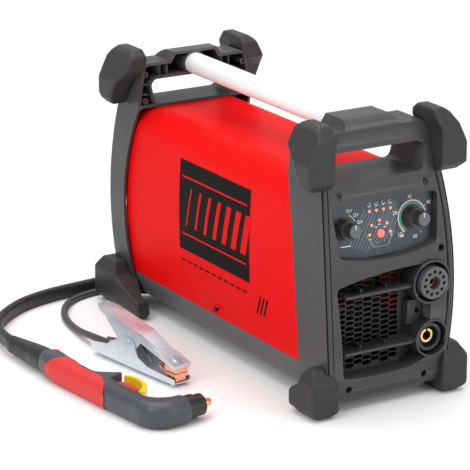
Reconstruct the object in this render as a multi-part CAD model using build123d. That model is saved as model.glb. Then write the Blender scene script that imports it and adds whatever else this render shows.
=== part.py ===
"""Plasma cutter: inverter power unit with its hand torch and earth clamp.

Millimetres. +Z is up, the front panel faces -Y, and +X is to the right when looking at the front panel.
Shapes are drawn about the middle of the unit and moved by TO_ROW, which puts the origin on the floor under the
middle of the unit, torch and clamp together.
Two moulded end frames, tied by a carrying tube, hold a folded steel cover and a base pan. Rubber bumpers
cover the eight corners. The torch and the clamp lie on the floor beside the unit, on their own leads.
"""

import math
import os

from build123d import *

# ---- driving dimensions ----
FACE_Y = -290.0  # most forward point of the front face
FACE_R = 690.0  # radius of the face in side view
FACE_Z = 125.0  # height of its most forward point
FRAME_BOTTOM, FRAME_MID, FRAME_TOP = 20.0, 150.0, 380.0
HALF_BOTTOM, HALF_MID, HALF_TOP = 93.0, 104.5, 87.0  # half width of a frame at those heights
WALL = 4.0
REAR_Y = 303.0  # most rearward point of the rear frame
TOTAL_H = 400.0
TO_ROW = (118.34, -10.5, 0.0)  # from the unit's own middle to the middle of everything but the leads
OPEN_HALF, OPEN_LOW, OPEN_HIGH = 77.0, 317.0, 355.0  # hand opening in each frame
TUBE_Z, TUBE_R, TUBE_BORE = 371.0, 16.0, 14.0  # carrying tube
BLOCK_HALF, BLOCK_TOP = 37.0, 392.0  # block that holds the end of the tube
COVER_INSET, COVER_T = 7.0, 1.5
COVER_TOP, COVER_LOW, COVER_R = 312.5, 55.0, 40.0
COVER_Y = (-222.0, 266.0)
PAN_BOTTOM, PAN_T = 27.0, 2.0
PANEL_TILT = 8.0  # control panel, degrees from vertical
PANEL_POS = (0.0, -265.0, 249.0)  # point on the panel's front surface
SOCKET_Y = -291.0
TORCH_SOCKET = (67.0, 166.0)  # x, z of the torch socket
EARTH_SOCKET = (69.0, 85.0)  # x, z of the earth socket
GRILLE_Y = -258.0  # front surface of the honeycomb
HEX_PITCH_X, HEX_PITCH_Z, HEX_WALL = 14.2, 7.6, 1.3
REAR_PANEL_Y = 272.0
FAN_CENTRE = (-22.0, 244.0, 128.0)
SWITCH_XZ = (38.0, 262.0)
GLAND_XZ = (-48.0, 262.0)
AIR_XZ = (54.0, 100.0)
PLAY = 0.3  # gap between pieces that move past each other

TORCH_ORIGIN = (-340.0, 58.0, 19.5)  # rear end of the torch handle, on its axis
TORCH_HEADING = 6.3  # degrees from -Y towards +X
TORCH_BEND = 262.0  # from the handle's rear end to the head's axis
TORCH_LEAD_W, TORCH_LEAD_T = 22.0, 13.0
CLAMP_ORIGIN = (-203.5, -84.0, 0.0)  # centre of the jaws' front end, on the floor
CLAMP_HEADING = 9.4  # degrees from +Y towards -X
CLAMP_HALF = 15.0
CLAMP_PIN = (104.0, 40.0)  # distance from the jaws' front end, and height
EARTH_LEAD_D = 10.0


# ---- helpers ----
def slab(sketch, y0, y1):
    """A sketch drawn in X and Z, made solid from y0 to y1."""
    return extrude(Plane(origin=(0, y1, 0), x_dir=(1, 0, 0), z_dir=(0, -1, 0)) * sketch, y1 - y0)


def side_slab(sketch, x0, x1):
    """A sketch drawn in Y and Z, made solid from x0 to x1."""
    return extrude(Plane(origin=(x0, 0, 0), x_dir=(0, 1, 0), z_dir=(1, 0, 0)) * sketch, x1 - x0)


def flat_slab(sketch, z0, z1):
    return extrude(Pos(0, 0, z0) * sketch, z1 - z0)


def block(x0, x1, y0, y1, z0, z1):
    return Pos((x0 + x1) / 2, (y0 + y1) / 2, (z0 + z1) / 2) * Box(x1 - x0, y1 - y0, z1 - z0)


def rod(radius, y0, y1, x=0.0, z=0.0):
    """A cylinder along Y."""
    return Pos(x, (y0 + y1) / 2, z) * Rot(90, 0, 0) * Cylinder(radius, y1 - y0)


def ring(outer, inner, y0, y1, x=0.0, z=0.0):
    return rod(outer, y0, y1, x, z) - rod(inner, y0 - 1, y1 + 1, x, z)


def polygon(points, radius=0.0):
    face = make_face(Polyline(*points, close=True))
    return fillet(face.vertices(), radius) if radius else face


def mirrored(shape):
    return mirror(shape, Plane.YZ)


def face_y(z, depth=0.0):
    """Y of the front face at height z, moved back by depth."""
    radius = FACE_R - depth
    return FACE_Y + FACE_R - math.sqrt(radius**2 - (z - FACE_Z) ** 2)


def side_arc(inset, z0, z1):
    """Right-hand edge of a frame's outline from z0 to z1, in X and Z."""
    a, b, c = (HALF_BOTTOM, FRAME_BOTTOM), (HALF_MID, FRAME_MID), (HALF_TOP, FRAME_TOP)
    d = 2 * (a[0] * (b[1] - c[1]) + b[0] * (c[1] - a[1]) + c[0] * (a[1] - b[1]))
    sa, sb, sc = (p[0] ** 2 + p[1] ** 2 for p in (a, b, c))
    cx = (sa * (b[1] - c[1]) + sb * (c[1] - a[1]) + sc * (a[1] - b[1])) / d
    cz = (sa * (c[0] - b[0]) + sb * (a[0] - c[0]) + sc * (b[0] - a[0])) / d
    radius = math.dist((cx, cz), a) - inset
    at = [(cx + math.sqrt(radius**2 - (z - cz) ** 2), z) for z in (z0, (z0 + z1) / 2, z1)]
    return at


def barrel(inset, z0, z1, low_r=0.0, high_r=0.0):
    """The bowed outline of the machine in front view, between two heights."""
    low, mid, high = side_arc(inset, z0, z1)
    flip = [(-x, z) for x, z in (low, mid, high)]
    face = make_face(
        Curve()
        + [
            Line(flip[0], low),
            ThreePointArc(low, mid, high),
            Line(high, flip[2]),
            ThreePointArc(flip[2], flip[1], flip[0]),
        ]
    )
    lows = [v for v in face.vertices() if v.Y < (z0 + z1) / 2]
    highs = [v for v in face.vertices() if v.Y > (z0 + z1) / 2]
    if low_r:
        face = fillet(lows, low_r)
        highs = [v for v in face.vertices() if v.Y > z1 - 1]
    if high_r:
        face = fillet(highs, high_r)
    return face


# ---- end frames ----
FRONT_BACK = ((-182.0, 382.0), (-182.0, 318.0), (-212.0, 190.0), (-210.0, FRAME_BOTTOM))
REAR_FRONT = ((227.0, 382.0), (227.0, 312.0), (259.0, 190.0), (240.0, FRAME_BOTTOM))
REAR_BACK = ((292.0, FRAME_BOTTOM), (REAR_Y, 160.0), (277.0, 357.0))


def front_profile(depth=0.0):
    """Side view of the front frame, between its face and its rear edge."""
    top, corner, waist, low = FRONT_BACK
    z0, z1, brow = FRAME_BOTTOM - 1, BLOCK_TOP + 1 - depth, FRAME_TOP - 22
    crown = (-212.0, z1)
    return make_face(
        Curve()
        + [
            ThreePointArc((face_y(z0, depth), z0), (face_y(FACE_Z, depth), FACE_Z), (face_y(brow, depth), brow)),
            ThreePointArc((face_y(brow, depth), brow), (-240.5 + 0.7 * depth, 381.0 - 0.7 * depth), crown),
            Line(crown, (top[0], z1)),
            Line((top[0], z1), corner),
            ThreePointArc(corner, waist, (low[0], z0)),
            Line((low[0], z0), (face_y(z0, depth), z0)),
        ]
    )


def rear_profile(depth=0.0):
    top, corner, waist, low = REAR_FRONT
    back = [(y - depth, z) for y, z in REAR_BACK]
    z0, z1 = FRAME_BOTTOM - 1, BLOCK_TOP + 1 - depth
    crown = (240.0, z1)
    return make_face(
        Curve()
        + [
            ThreePointArc((back[0][0], z0), back[1], back[2]),
            ThreePointArc(back[2], (268.0 - 0.7 * depth, 381.0 - 0.7 * depth), crown),
            Line(crown, (top[0], z1)),
            Line((top[0], z1), corner),
            ThreePointArc(corner, waist, (low[0], z0)),
            Line((low[0], z0), (back[0][0], z0)),
        ]
    )


def frame_outline(inset=0.0):
    """Front view of a frame, with the raised block that holds the tube."""
    bar = barrel(inset, FRAME_BOTTOM + inset, FRAME_TOP - inset, 14 - inset, 10 - inset)
    foot, head, base = BLOCK_HALF + 8 - inset, BLOCK_HALF - inset, FRAME_TOP - 30
    top = BLOCK_TOP - inset
    return bar + polygon([(-foot, base), (foot, base), (foot, FRAME_TOP - inset), (head, top), (-head, top),
                          (-foot, FRAME_TOP - inset)])


def hand_opening(grow=0.0):
    side, low, high = OPEN_HALF + grow, OPEN_LOW - grow, OPEN_HIGH + grow
    return polygon([(-side + 10, low), (side - 10, low), (side, high), (-side, high)], 10 + grow)


def shell(profile, y0, y1):
    """A frame moulding: a bowed skin open towards the cover, with a hand opening and a hollow head."""
    outer = slab(frame_outline(), y0, y1) & side_slab(profile(), -130, 130)
    inner_side = side_slab(profile(WALL), -130, 130)
    cavity = slab(barrel(WALL, FRAME_BOTTOM + WALL, OPEN_LOW - WALL, 10, 6), y0, y1)
    head = slab(frame_outline(WALL), y0, y1) & block(-130, 130, y0, y1, OPEN_LOW, TOTAL_H)
    head -= slab(hand_opening(WALL), y0, y1)
    return outer - slab(hand_opening(), y0, y1), (cavity + head) & inner_side


def head_ribs(y0, y1):
    """Stiffening ribs and screw bosses in the hollow head of a frame, for its right-hand half."""
    ribs = [block(x, x + 1.6, y0, y1, OPEN_HIGH + 2, FRAME_TOP - 2) for x in (46.0, 58.0)]
    ribs += [block(OPEN_HALF + 2, 94, y0, y1, z, z + 1.6) for z in (332.0, 347.0)]
    ribs += [ring(4.5, 2.0, y0, y1, 83.5, z) for z in (363.0, 323.0)]
    return ribs


SCREWS = [(-69.5, 301.0), (69.5, 301.0), (85.0, 210.0), (-61.5, 33.0), (61.5, 33.0)]


def finish_frame(outer, hollow, seat, bore, ribs):
    """The moulding with its cavities, ribs and tube seat. Ribs stay inside the hollow."""
    body = outer - hollow
    for rib in ribs:
        body += rib & hollow
        body += mirrored(rib) & hollow
    body += rod(TUBE_R + 3, seat[0], seat[1], 0, TUBE_Z) & outer
    return body - rod(TUBE_R, bore[0], bore[1], 0, TUBE_Z)


def largest(shape):
    """The main solid of a shape, without any crumbs that a cut has left."""
    return max(shape.solids(), key=lambda s: s.volume)


def panel_window(grow=0.0):
    """Window in the face for the control panel, in X and Z."""
    g = grow
    face = make_face(
        Curve()
        + [
            Line((-86 - g, 288 + g), (86 + g, 288 + g)),
            Line((86 + g, 288 + g), (78 + g, 220 - g)),
            ThreePointArc((78 + g, 220 - g), (0, 209.5 - g), (-78 - g, 220 - g)),
            Line((-78 - g, 220 - g), (-86 - g, 288 + g)),
        ]
    )
    return fillet(face.vertices(), 7 + g)


def grille_window(grow=0.0):
    """Window in the face for the air grille, in X and Z."""
    g = grow
    face = make_face(
        Curve()
        + [
            ThreePointArc((-86 - g, 180 + g), (-10, 191 + g), (66 + g, 193 + g)),
            Line((66 + g, 193 + g), (66 + g, 60 - g)),
            Line((66 + g, 60 - g), (38 + g, 49 - g)),
            ThreePointArc((38 + g, 49 - g), (-20, 46.5 - g), (-72 - g, 50 - g)),
            Line((-72 - g, 50 - g), (-86 - g, 180 + g)),
        ]
    )
    return fillet(face.vertices(), 8 + g)


def front_frame():
    y0, y1 = -300.0, -150.0
    outer, hollow = shell(front_profile, y0, y1)
    ribs = [r & side_slab(front_profile(WALL), 0, 130) for r in head_ribs(-250.0, -183.0)]
    body = finish_frame(outer, hollow, (-220.0, -184.0), (-216.0, -170.0), ribs)
    # lining of the control panel window and of the grille window, reaching back to what they hold
    for window, depth in ((panel_window, -262.0), (grille_window, -254.0)):
        lining = slab(window(2.5) - window(), -300, depth) & side_slab(front_profile(), -130, 130)
        body += lining
        body -= slab(window(), y0, depth + 1)
    body -= rod(31.5, y0, -180, *TORCH_SOCKET)
    body -= rod(27.0, y0, -180, *EARTH_SOCKET)
    for x, z in SCREWS:  # countersunk pockets and posts for the frame screws
        post = rod(7.5, face_y(z) + 1, -252, x, z)
        body += post - rod(4.8, -300, -262, x, z)
        body -= rod(4.8, -300, -262, x, z)
        body -= rod(2.1, -300, -240, x, z)
    return largest(body)


def rear_frame():
    y0, y1 = 200.0, 320.0
    outer, hollow = shell(rear_profile, y0, y1)
    ribs = [r & side_slab(rear_profile(WALL), 0, 130) for r in head_ribs(229.0, 282.0)]
    body = finish_frame(outer, hollow, (228.5, 261.0), (215.0, 257.0), ribs)
    window = polygon([(-80, 46), (80, 46), (80, 298), (-80, 298)], 12)
    body -= slab(window, 240, 320)
    for x, z in [(s * 69.0, h) for s in (-1, 1) for h in (36.0, 305.0)]:
        body -= rod(2.1, 240, 320, x, z)
    return largest(body)


# ---- corner bumpers ----
def bumper(front, side, plan=None):
    """A corner pad from its front and side views, and its plan where that tapers."""
    pad = slab(front, -330, 330) & side_slab(side, 60, 140)
    if plan:
        pad &= extrude(plan, BLOCK_TOP, both=True)
    return pad


def rear_foot_plan():
    """Seen from above, a rear foot narrows to its outer side towards the front."""
    return polygon([(60, 330), (140, 330), (140, 170), (106, 170), (106, 206), (84, 262), (60, 262)])


def top_front_view():
    return polygon([(85, 314), (117, 314), (126.5, 324), (126.5, 354), (107, 394), (99, 400), (81, 400),
                    (81, 382), (85, 368)])


def foot_front_view():
    return polygon([(84, 11), (90, 0), (116, 0), (127, 12), (127, 54), (118, 70), (92, 70), (86, 46)])


def bumpers():
    """Right-hand bumper of each kind, before the frames are cut out of it."""
    front_top = polygon([(-283, 325), (-283, 380), (-264, 400), (-224, 400), (-213, 391), (-213, 368),
                         (-236, 352), (-259, 314), (-272, 314)])
    rear_top = polygon([(297, 330), (297, 384), (284, 400), (238, 400), (226, 390), (226, 368),
                        (246, 352), (267, 314), (286, 314)])
    front_foot = polygon([(-297, 9), (-297, 52), (-282, 70), (-264, 70), (-256, 46), (-240, 38),
                          (-233, 30), (-233, 10), (-241, 0), (-286, 0)])
    rear_foot = polygon([(318, 12), (318, 54), (302, 76), (272, 76), (256, 52), (222, 38),
                         (186, 28), (180, 10), (192, 0), (304, 0)])
    return {
        "front_bumpers": bumper(top_front_view(), front_top),
        "rear_bumpers": bumper(top_front_view(), rear_top),
        "front_feet": bumper(foot_front_view(), front_foot),
        "rear_feet": bumper(foot_front_view(), rear_foot, rear_foot_plan()),
    }


# ---- cover, pan, tube ----
def cover():
    y0, y1 = COVER_Y
    low = COVER_LOW
    outer = barrel(COVER_INSET, low, COVER_TOP, 0, COVER_R)
    inner = barrel(COVER_INSET + COVER_T, low - 5, COVER_TOP - COVER_T, 0, COVER_R - COVER_T)
    skin = slab(outer - inner, y0, y1)
    for y in (10.0,):
        hole = Pos(0, y, 66) * Rot(0, 90, 0) * Cylinder(2.3, 240)
        skin -= hole
    return skin


def base_pan():
    y0, y1 = COVER_Y[0] + 9, COVER_Y[1] - 4
    rail = slab(barrel(COVER_INSET, PAN_BOTTOM, COVER_LOW - 0.4), y0, y1)
    flange = slab(barrel(COVER_INSET + COVER_T + 0.2, PAN_BOTTOM, 84), y0, y1)
    hollow = slab(barrel(COVER_INSET + COVER_T + 0.2 + PAN_T, PAN_BOTTOM + PAN_T, 90), y0 - 1, y1 + 1)
    pan = rail + flange - hollow
    return pan - Pos(0, 10, 66) * Rot(0, 90, 0) * Cylinder(1.8, 240)


def carry_tube():
    return ring(TUBE_R, TUBE_BORE, -216.0, 257.0, 0, TUBE_Z)


# ---- control panel ----
def on_panel(x, z, shape):
    """Places a shape made around the origin, standing out along -Y, on the tilted panel."""
    rise = z - PANEL_POS[2]
    y = PANEL_POS[1] + rise * math.tan(math.radians(PANEL_TILT))
    return Pos(x, y, z) * Rot(-PANEL_TILT, 0, 0) * shape


MODE_KNOB, CURRENT_KNOB, BUTTON = (-60.0, 254.0), (50.0, 254.0), (-3.0, 240.0)
LEDS = [(-18.0 + 11.3 * i, 271.5) for i in range(4)]
LEDS += [(BUTTON[0] + dx, BUTTON[1] + dz) for dx, dz in ((-13, 12.5), (0, 17.5), (12, 12), (16.5, 0), (-17, 0))]


def control_panel():
    plate = on_panel(0, PANEL_POS[2], block(-85, 85, 0, 2.0, -38.5, 37.5))
    plate &= slab(panel_window(-0.4), -300, -240)
    for x, z in (MODE_KNOB, CURRENT_KNOB):
        plate -= on_panel(x, z, rod(4.0, -5, 5))
    plate -= on_panel(*BUTTON, rod(5.9, -5, 5))
    for x, z in LEDS:
        plate -= on_panel(x, z, rod(2.3, -5, 5))
    return plate


def knob(x, z):
    """Skirted control knob, ribbed round its body, on a D shaft."""
    body = rod(15.5, -4.5, -0.6) + rod(13.6, -17.0, -4.4) + rod(10.2, -29.0, -16.9)
    body = fillet(body.edges().filter_by(GeomType.CIRCLE).sort_by(Axis.Y)[:1], 1.2)
    for k in range(18):
        a = math.radians(20 * k)
        body -= rod(0.8, -30, -17.2, 10.4 * math.cos(a), 10.4 * math.sin(a))
    pointer = block(-0.7, 0.7, -29.6, -28.4, 2.0, 9.0)
    return on_panel(x, z, body - pointer - rod(3.05, -14, 0))


def knob_shafts():
    shafts = []
    for x, z in (MODE_KNOB, CURRENT_KNOB):
        can = rod(8.5, 3.0, 11.6)
        shafts.append(on_panel(x, z, rod(3.0, -13.5, 3.1) + can))
    return Compound(shafts)


def push_button():
    return on_panel(*BUTTON, rod(5.6, -2.6, 6.0) + rod(7.0, 3.4, 6.0))


def leds():
    return Compound([on_panel(x, z, rod(2.2, -0.5, 5.0)) for x, z in LEDS])


def control_board():
    board = on_panel(0, PANEL_POS[2], block(-76, 76, 12.0, 13.6, -30, 34))
    chips = [on_panel(0, PANEL_POS[2], block(x, x + w, 13.5, 16.5, z, z + h))
             for x, w, z, h in ((-55, 14, -22, 14), (-20, 9, -26, 9), (14, 22, -20, 8), (50, 10, 6, 16))]
    stand = [on_panel(*BUTTON, block(-5, 5, 8.4, 12.0, -5, 5))]
    return board + chips + stand


# ---- front grille and sockets ----
def hexagon(width, height):
    """A wide hexagon with flat top and bottom."""
    shoulder = width / 2 - height * 0.32
    return polygon([(-width / 2, 0), (-shoulder, height / 2), (shoulder, height / 2), (width / 2, 0),
                    (shoulder, -height / 2), (-shoulder, -height / 2)])


def honeycomb(x0, x1, z0, z1):
    """The cells of the grille, as one sketch."""
    cell = hexagon(HEX_PITCH_X * 1.17 - HEX_WALL, HEX_PITCH_Z - HEX_WALL)
    cells = []
    columns = int((x1 - x0) / HEX_PITCH_X)
    rows = int((z1 - z0) / HEX_PITCH_Z)
    for i in range(columns):
        for j in range(rows - i % 2):
            z = z0 + HEX_PITCH_Z * (j + 0.5 + 0.5 * (i % 2))
            cells.append(Pos(x0 + HEX_PITCH_X * (i + 0.5), z) * cell)
    return cells


def grille_panel():
    """Moulded insert behind the face: honeycomb, two louvre bars and the two socket pods."""
    plate = grille_window(-0.4)
    plate = plate - Compound(honeycomb(-80, 34, 52, 190)).faces()
    plate -= Pos(56, 122) * Circle(4.0)
    body = slab(plate, GRILLE_Y, GRILLE_Y + 3)
    for z in (164.0, 84.0):
        body += block(-70, 60, -287, GRILLE_Y + 1, z - 1.8, z + 1.8)
        for x in (-40.0, 0.0):
            body += block(x - 0.9, x + 0.9, -278, GRILLE_Y + 1, z + 1.7, z + 7)
    body += block(40, 66, GRILLE_Y - 14, GRILLE_Y + 1, 104, 138) - rod(4.0, -300, -200, 56, 122)
    for (x, z), outer, inner in ((TORCH_SOCKET, 31.0, 28.0), (EARTH_SOCKET, 26.5, 24.0)):
        body += rod(outer, SOCKET_Y, GRILLE_Y + 3, x, z)
        body -= rod(inner, SOCKET_Y - 1, GRILLE_Y - 1.5, x, z)
        body -= rod(13.0, SOCKET_Y - 1, -240, x, z)
    return body


def torch_socket():
    x, z = TORCH_SOCKET
    body = rod(22.5, -297, -262, x, z) + rod(12.8, -262.1, -236, x, z) + rod(26.0, -266, -260.6, x, z)
    body -= rod(9.0, -298, -246, x, z)
    for k in range(11):
        a = math.radians(90 + 360 * k / 11)
        body -= rod(2.6, -298, -270, x + 15.8 * math.cos(a), z + 15.8 * math.sin(a))
    return body


def torch_socket_contact():
    x, z = TORCH_SOCKET
    return ring(7.0, 4.5, -287, -246, x, z) + rod(9.0, -249, -246, x, z)


def earth_socket():
    x, z = EARTH_SOCKET
    body = rod(20.0, -284, -260.5, x, z) + rod(12.8, -260.6, -240, x, z)
    body -= rod(15.0, -285, -270, x, z)
    return body - rod(10.0, -286, -230, x, z)


def earth_socket_contact():
    x, z = EARTH_SOCKET
    return ring(10.0, 6.6, -278, -232, x, z) - block(x - 1.2, x + 1.2, -279, -268, z + 5, z + 12)


# ---- rear panel and what it carries ----
def rear_panel():
    plate = slab(polygon([(-88, 30), (88, 30), (88, 303), (-88, 303)], 8), REAR_PANEL_Y, REAR_PANEL_Y + 2)
    x, _, z = FAN_CENTRE
    for row in range(11):
        dz = -50 + 10.0 * row
        half = math.sqrt(56.0**2 - dz**2)
        plate -= block(x - half, x - 2, 265, 280, z + dz - 2.6, z + dz + 2.6)
        plate -= block(x + 2, x + half, 265, 280, z + dz - 2.6, z + dz + 2.6)
    plate -= rod(11.0, 265, 280, *SWITCH_XZ)
    plate -= rod(10.0, 265, 280, *GLAND_XZ)
    return plate - rod(7.0, 265, 280, *AIR_XZ)


def switch_body():
    x, z = SWITCH_XZ
    plate = fillet((Pos(x, 276, z) * Box(48, 4, 48)).edges().filter_by(Axis.Y), 5)
    return plate + rod(10.9, 250, 275, x, z) + block(x - 22, x + 22, 232, 270, z - 22, z + 22)


def switch_handle():
    x, z = SWITCH_XZ
    dial = rod(17.0, 278.3, 284, x, z)
    grip = fillet((Pos(x, 291, z) * Box(9, 16, 32)).edges().filter_by(Axis.Y), 3)
    return dial + grip


def cable_gland():
    x, z = GLAND_XZ
    nut = slab(Pos(x, z) * RegularPolygon(14, 6), 274, 281)
    cap = slab(Pos(x, z) * RegularPolygon(12.5, 6), 281, 294)
    back = slab(Pos(x, z) * RegularPolygon(13.5, 6), 266, 272)
    return nut + cap + rod(9.9, 262, 300, x, z) + back - rod(6.5, 260, 302, x, z)


def air_filter():
    """Filter and regulator body on the air inlet, with its bowl below."""
    x, z = AIR_XZ
    body = rod(6.9, 262, 276, x, z) + fillet((Pos(x, 288, z) * Box(26, 26, 30)).edges(), 3)
    bowl = Pos(x, 288, z - 33) * Cylinder(10.5, 40)
    drain = Pos(x, 288, z - 56) * Cylinder(3, 8)
    spout = Pos(x, 307, z) * Rot(90, 0, 0)
    inlet = spout * Cylinder(9, 14)
    body += bowl + drain + inlet + Pos(x, 288, z + 16) * Cylinder(9, 8)
    return body - spout * Cylinder(5.7, 14)


def regulator_knob():
    x, z = AIR_XZ
    knob_body = Pos(x, 288, z + 31.5) * Cylinder(12, 22)
    for k in range(16):
        a = math.radians(22.5 * k)
        knob_body -= Pos(x + 12.2 * math.cos(a), 288 + 12.2 * math.sin(a), z + 30) * Cylinder(0.9, 16)
    return knob_body


# ---- inside ----
def fan_frame():
    x, y, z = FAN_CENTRE
    body = Pos(x, y, z) * Box(120, 38, 120) - rod(57, y - 20, y + 20, x, z)
    spokes = block(x - 58, x + 58, y + 15, y + 19, z - 3, z + 3) + block(x - 3, x + 3, y + 15, y + 19, z - 58, z + 58)
    hub = rod(20, y + 12, y + 19, x, z) + rod(4, y - 10, y + 12.1, x, z)
    return body + spokes + hub


def fan_rotor():
    x, y, z = FAN_CENTRE
    hub = rod(21, y - 17, y + 11, x, z) - rod(4.06, y - 12, y + 12, x, z)
    blade = Pos(37, 0, 0) * Rot(38, 0, 0) * Box(33, 2.2, 26)
    body = hub
    for k in range(7):
        body += Pos(x, y - 3, z) * Rot(0, 360 * k / 7, 0) * blade
    return body


def heat_sink():
    base = block(-78, 78, -150, 60, 92, 98)
    fins = [block(x, x + 2, -150, 60, 48, 92.1) for x in range(-78, 78, 11)]
    return base + fins


def power_board():
    return block(-82, 82, -165, 190, 201.0, 203.0) + [
        block(sx * 74 - 3, sx * 74 + 3, y - 3, y + 3, 98, 201.1) for sx in (-1, 1) for y in (-140, 50)
    ]


def capacitors():
    return Compound([Pos(x, y, 228) * Cylinder(17, 50) for x in (-50, 0, 50) for y in (-120, -76)])


def transformer():
    core = block(-36, 36, 75, 131, 29.1, 112)
    return core + block(-26, 26, 66, 140, 52, 100)


def housing_screws():
    """Socket-head screws in both frames and at the cover's lower edges."""
    heads = [rod(4.4, -268, -263, x, z) + rod(2.0, -263.1, -242, x, z) - rod(1.6, -269, -265, x, z) for x, z in SCREWS]
    for x, z in [(s * 69.0, h) for s in (-1, 1) for h in (36.0, 305.0)]:
        y = REAR_Y - 1.0
        heads.append(rod(4.4, y, y + 3.5, x, z) + rod(2.0, 280, y + 0.1, x, z) - rod(1.6, y + 1.5, y + 5, x, z))
    for s in (-1, 1):
        head = Pos(s * 96.8, 10, 66) * Rot(0, 90, 0) * Cylinder(4.2, 1.8)
        heads.append(head + Pos(s * 93.0, 10, 66) * Rot(0, 90, 0) * Cylinder(1.75, 9))
    return Compound(heads)


def build_unit():
    frames = {"front_frame": front_frame(), "rear_frame": rear_frame()}
    made = dict(frames)
    envelope = slab(frame_outline(), -320, 320) & (
        side_slab(front_profile(), -130, 130) + side_slab(rear_profile(), -130, 130)
    )
    envelope += slab(barrel(COVER_INSET - PLAY, PAN_BOTTOM - PLAY, 120), -215, 265)
    for name, pad in bumpers().items():
        solid = largest(pad - envelope)
        made[name] = Compound([solid, mirrored(solid)])
    made.update(
        side_cover=cover(), base_pan=base_pan(), carry_tube=carry_tube(), control_panel=control_panel(),
        mode_knob=knob(*MODE_KNOB), current_knob=knob(*CURRENT_KNOB), knob_shafts=knob_shafts(),
        push_button=push_button(), indicator_leds=leds(), control_board=control_board(),
        grille_panel=grille_panel(), torch_socket=torch_socket(), torch_socket_contact=torch_socket_contact(),
        earth_socket=earth_socket(), earth_socket_contact=earth_socket_contact(), rear_panel=rear_panel(),
        switch_body=switch_body(), switch_handle=switch_handle(), cable_gland=cable_gland(),
        air_filter=air_filter(), regulator_knob=regulator_knob(),
        fan_frame=fan_frame(), fan_rotor=fan_rotor(), heat_sink=heat_sink(), power_board=power_board(),
        capacitors=capacitors(), transformer=transformer(),
        housing_screws=housing_screws(),
    )
    return made


# ---- torch ----
def at_torch(shape):
    """Places a shape drawn with +X along the handle, +Y to the trigger's side and Z up."""
    return Pos(*TORCH_ORIGIN) * Rot(0, 0, TORCH_HEADING - 90) * shape


def handle_form():
    """The torch's body: a pistol shape lying on its side, with its edges bevelled and a trigger guard."""
    outline = polygon([(0, -16), (34, -21), (166, -22), (262, -20), (262, 14), (240, 14), (224, 6), (206, 12),
                       (112, 10), (80, 10), (46, 14), (14, 19), (0, 18)])
    bends = [v for v in outline.vertices() if 5 < v.X < 230]
    body = flat_slab(fillet(bends, 8), -18.8, 18.8)
    body = chamfer(body.edges().group_by(Axis.Z)[0] + body.edges().group_by(Axis.Z)[-1], 5.0)
    return body + flat_slab(polygon([(108, 6), (125, 23), (133, 33), (139, 12), (139, 6)], 1.0), -12, 12)


def head_form():
    """The torch's head, square to the handle, with a ball where it bends."""
    neck = Pos(TORCH_BEND, 14, 0) * Rot(90, 0, 0) * Cylinder(20.0, 56)
    return neck + Pos(TORCH_BEND, -14, 0) * Sphere(20.0) & Pos(TORCH_BEND, 0, 0) * Box(60, 200, 38)


def grip_region():
    return flat_slab(polygon([(26, -40), (20, -14), (30, 2), (44, 5), (60, -2), (90, -6), (134, -5),
                              (150, -1), (166, -16), (160, -40)]), -30, 30)


TRIGGER_PIVOT, CATCH_PIVOT = (146.0, 8.5), (200.0, 8.0)


def torch_parts():
    body = handle_form() + head_form()
    body -= flat_slab(Pos(164.5, 6.2) * Rectangle(49, 12.4), -8, 8)
    body -= flat_slab(Pos(200.5, 7.2) * Rectangle(17, 13), -5, 5)
    core = flat_slab(polygon([(30, -17), (160, -18), (160, 4), (30, 4)]), -16.2, 16.2)
    grip = (body & grip_region()) - core
    handle = body - grip_region() + (body & core)
    trigger = flat_slab(polygon([(141, 3), (187, 3), (187, 22), (180, 27), (150, 27), (141, 20)], 1.5), -7.5, 7.5)
    catch = polygon([(134, 38), (142, 43), (158, 45), (176, 42), (190, 35), (199, 25), (204, 15.5),
                     (196, 15.5), (193, 21), (186, 30), (174, 37), (158, 40), (145, 38.5), (136, 34)], 1.2)
    ear = polygon([(195.5, 20), (204, 16), (204, 8), (200, 4), (196, 8)], 1.0)
    catch = flat_slab(catch, -11, 11) + flat_slab(ear, -4.4, 4.4)
    pins = [flat_slab(Pos(*at) * Circle(1.5), -14, 14) for at in (TRIGGER_PIVOT, CATCH_PIVOT)]
    for x, y in (TRIGGER_PIVOT, CATCH_PIVOT):
        handle -= flat_slab(Pos(x, y) * Circle(1.5), -14, 14)
        trigger -= flat_slab(Pos(x, y) * Circle(1.56), -20, 20)
        catch -= flat_slab(Pos(x, y) * Circle(1.56), -20, 20)
    spring = Pos(178, 1.5, 0) * Rot(90, 0, 0) * Cylinder(3, 2.8)
    front = [Pos(TORCH_BEND, y, 0) * Rot(90, 0, 0) * Cylinder(r, h)
             for y, r, h in ((49.5, 17.0, 15), (64, 15.0, 14.1))]
    cap = front[0] + front[1] - Pos(TORCH_BEND, 60, 0) * Rot(90, 0, 0) * Cylinder(8, 60)
    nozzle = Pos(TORCH_BEND, 68, 0) * Rot(90, 0, 0) * Cylinder(7.9, 20)
    nozzle += Pos(TORCH_BEND, 82, 0) * Rot(90, 0, 0) * Cylinder(5.5, 9)
    nozzle = fillet(nozzle.edges().filter_by(GeomType.CIRCLE).sort_by(Axis.Y)[-1:], 2.5)
    nozzle -= Pos(TORCH_BEND, 82, 0) * Rot(90, 0, 0) * Cylinder(0.6, 20)
    electrode = Pos(TORCH_BEND, 51, 0) * Rot(90, 0, 0) * Cylinder(5, 13.9)
    boot = loft([Plane(origin=(-98, 0, 0), z_dir=(1, 0, 0)) * Ellipse(8.5, 13),
                 Plane(origin=(0, 0.4, 0), z_dir=(1, 0, 0)) * Ellipse(16.5, 17.5)])
    made = dict(torch_handle=handle, torch_grip=grip, torch_trigger=trigger, safety_catch=catch,
                torch_pins=Compound(pins), trigger_spring=spring, retaining_cap=cap, cutting_nozzle=nozzle,
                electrode=electrode, torch_boot=boot)
    return {name: at_torch(shape) for name, shape in made.items()}


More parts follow.
